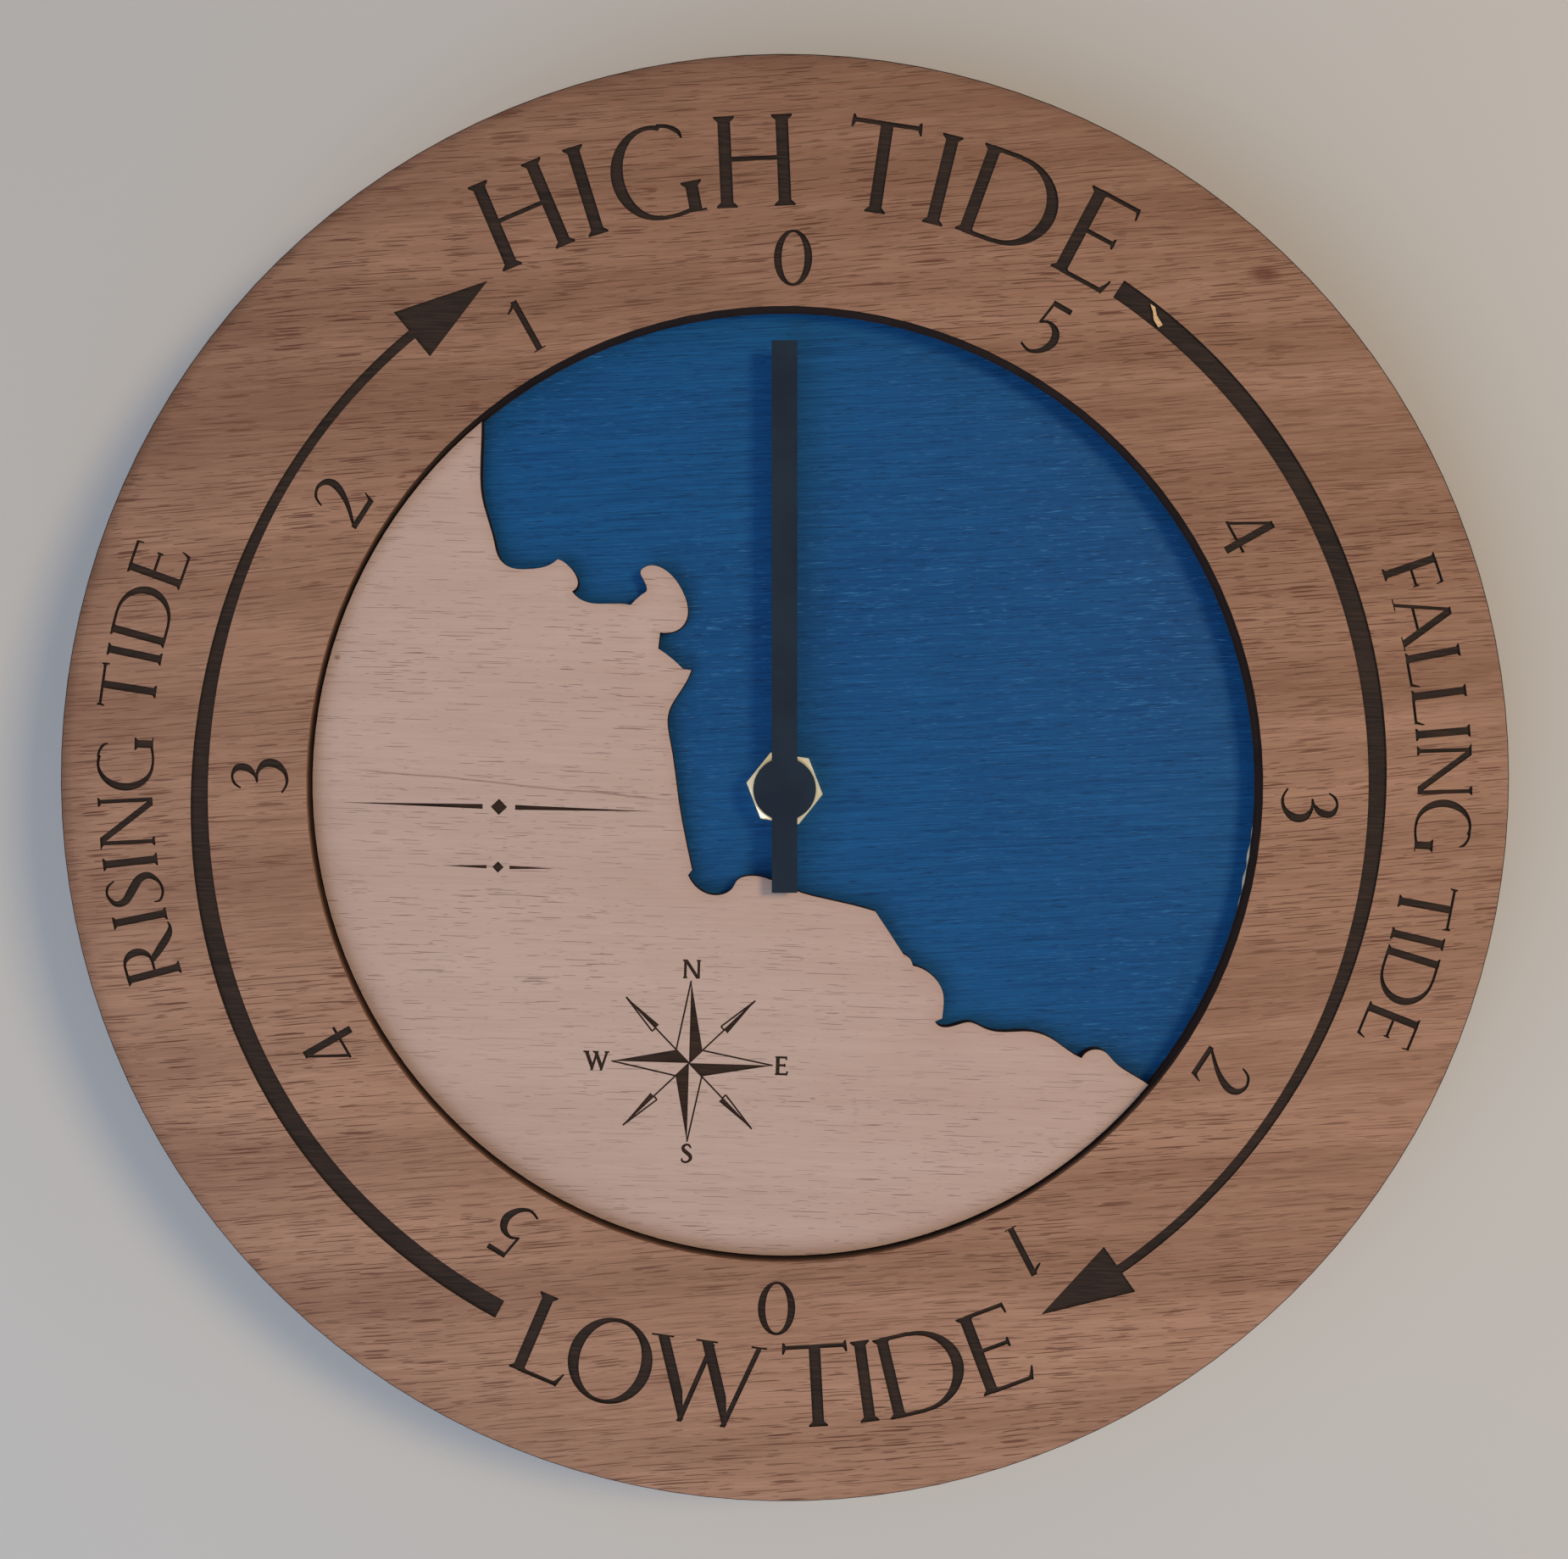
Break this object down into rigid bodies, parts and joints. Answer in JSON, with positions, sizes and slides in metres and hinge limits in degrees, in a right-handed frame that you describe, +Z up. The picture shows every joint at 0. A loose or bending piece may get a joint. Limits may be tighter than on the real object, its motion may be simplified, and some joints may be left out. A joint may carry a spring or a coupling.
{
  "type": "wall tide clock",
  "caption": "Round wooden wall tide clock: wide ring, recessed land and sea dial, one hand geared to a setting knob, battery movement with a hanging bracket behind.",
  "frame": {"origin": "middle of the hanging hole, on the wall plane that the back of the clock touches", "axes": "+Z up, +X to the viewer's right, +Y into the wall along the hanging hole; the dial faces -Y"},
  "size_m": [0.3, 0.0274, 0.3],
  "materials": {
    "ring_wood": "oiled mahogany-faced plywood, laser-cut edges",
    "land_wood": "pale plywood, laser-cut edges",
    "sea_wood": "blue-stained plywood",
    "hand_black": "matt black paint",
    "brass_plain": "turned",
    "nut_brass": "turned, dull",
    "washer_rubber": "matt",
    "bracket_steel": "zinc plated",
    "case_plastic": "moulded black",
    "cover_plastic": "moulded black",
    "bridge_plastic": "moulded dark grey",
    "wheel_plastic": "moulded natural white",
    "knob_plastic": "moulded dark grey",
    "magnet_ferrite": "sintered",
    "core_steel": "stamped",
    "bobbin_plastic": "moulded cream",
    "coil_copper": "enamelled copper wire",
    "board_laminate": "green laminate",
    "chip_resin": "black resin",
    "crystal_can": "drawn can",
    "cell_wrap": "plain grey wrap, bare metal ends",
    "contact_steel": "nickel plated"
  },
  "bodies": {
    "clock": {"dial_ring": "ring_wood", "land_inlay": "land_wood", "sea_plate": "sea_wood", "dial_nut": "nut_brass", "rubber_washer": "washer_rubber", "hanger_bracket": "bracket_steel", "movement_case": "case_plastic", "rear_cover": "cover_plastic", "train_bridge": "bridge_plastic", "stator": "core_steel", "coil_core": "core_steel", "coil_bobbin": "bobbin_plastic", "coil_winding": "coil_copper", "circuit_board": "board_laminate", "chip_blob": "chip_resin", "quartz_crystal": "crystal_can", "battery_cell": "cell_wrap", "contact_plus": "contact_steel", "contact_minus": "contact_steel"},
    "hand": {"tide_hand": "hand_black", "hand_bush": "brass_plain", "tide_wheel": "wheel_plastic"},
    "idler": {"minute_idler": "wheel_plastic"},
    "cannon": {"cannon_pinion": "brass_plain"},
    "setter": {"setting_knob": "knob_plastic", "setting_gear": "wheel_plastic"},
    "second": {"second_wheel": "wheel_plastic"},
    "secondidler": {"second_idler": "wheel_plastic"},
    "rotor": {"rotor_arbor": "wheel_plastic", "rotor_magnet": "magnet_ferrite"},
    "third": {"third_wheel": "wheel_plastic"},
    "centre": {"centre_wheel": "wheel_plastic"}
  },
  "joints": [
    {"name": "hand_turn", "type": "hinge", "parent": "clock", "child": "hand", "pos_m": [0, 0, -0.03733], "axis": [0, 1, 0], "continuous": true},
    {"name": "idler_turn", "type": "hinge", "parent": "clock", "child": "idler", "pos_m": [0.00506, 0, -0.04158], "axis": [0, 1, 0], "continuous": true},
    {"name": "cannon_turn", "type": "hinge", "parent": "clock", "child": "cannon", "pos_m": [0, 0, -0.03733], "axis": [0, 1, 0], "continuous": true},
    {"name": "knob_turn", "type": "hinge", "parent": "clock", "child": "setter", "pos_m": [0.01264, 0, -0.04024], "axis": [0, 1, 0], "continuous": true},
    {"name": "second_turn", "type": "hinge", "parent": "clock", "child": "second", "pos_m": [0, 0, -0.03733], "axis": [0, 1, 0], "continuous": true},
    {"name": "second_idler_turn", "type": "hinge", "parent": "clock", "child": "secondidler", "pos_m": [-0.00482, 0, -0.03159], "axis": [0, 1, 0], "continuous": true},
    {"name": "rotor_turn", "type": "hinge", "parent": "clock", "child": "rotor", "pos_m": [-0.00822, 0, -0.0257], "axis": [0, 1, 0], "continuous": true},
    {"name": "third_turn", "type": "hinge", "parent": "clock", "child": "third", "pos_m": [0.00624, 0, -0.03373], "axis": [0, 1, 0], "continuous": true},
    {"name": "centre_turn", "type": "hinge", "parent": "clock", "child": "centre", "pos_m": [0, 0, -0.03733], "axis": [0, 1, 0], "continuous": true}
  ],
  "couplings": [
    {"joint": "idler_turn", "follows": "hand_turn", "ratio": -4},
    {"joint": "cannon_turn", "follows": "hand_turn", "ratio": 12},
    {"joint": "knob_turn", "follows": "hand_turn", "ratio": 7.2},
    {"joint": "second_idler_turn", "follows": "second_turn", "ratio": -4},
    {"joint": "rotor_turn", "follows": "second_turn", "ratio": 30},
    {"joint": "third_turn", "follows": "second_turn", "ratio": -0.125},
    {"joint": "centre_turn", "follows": "second_turn", "ratio": 0.016667}
  ]
}
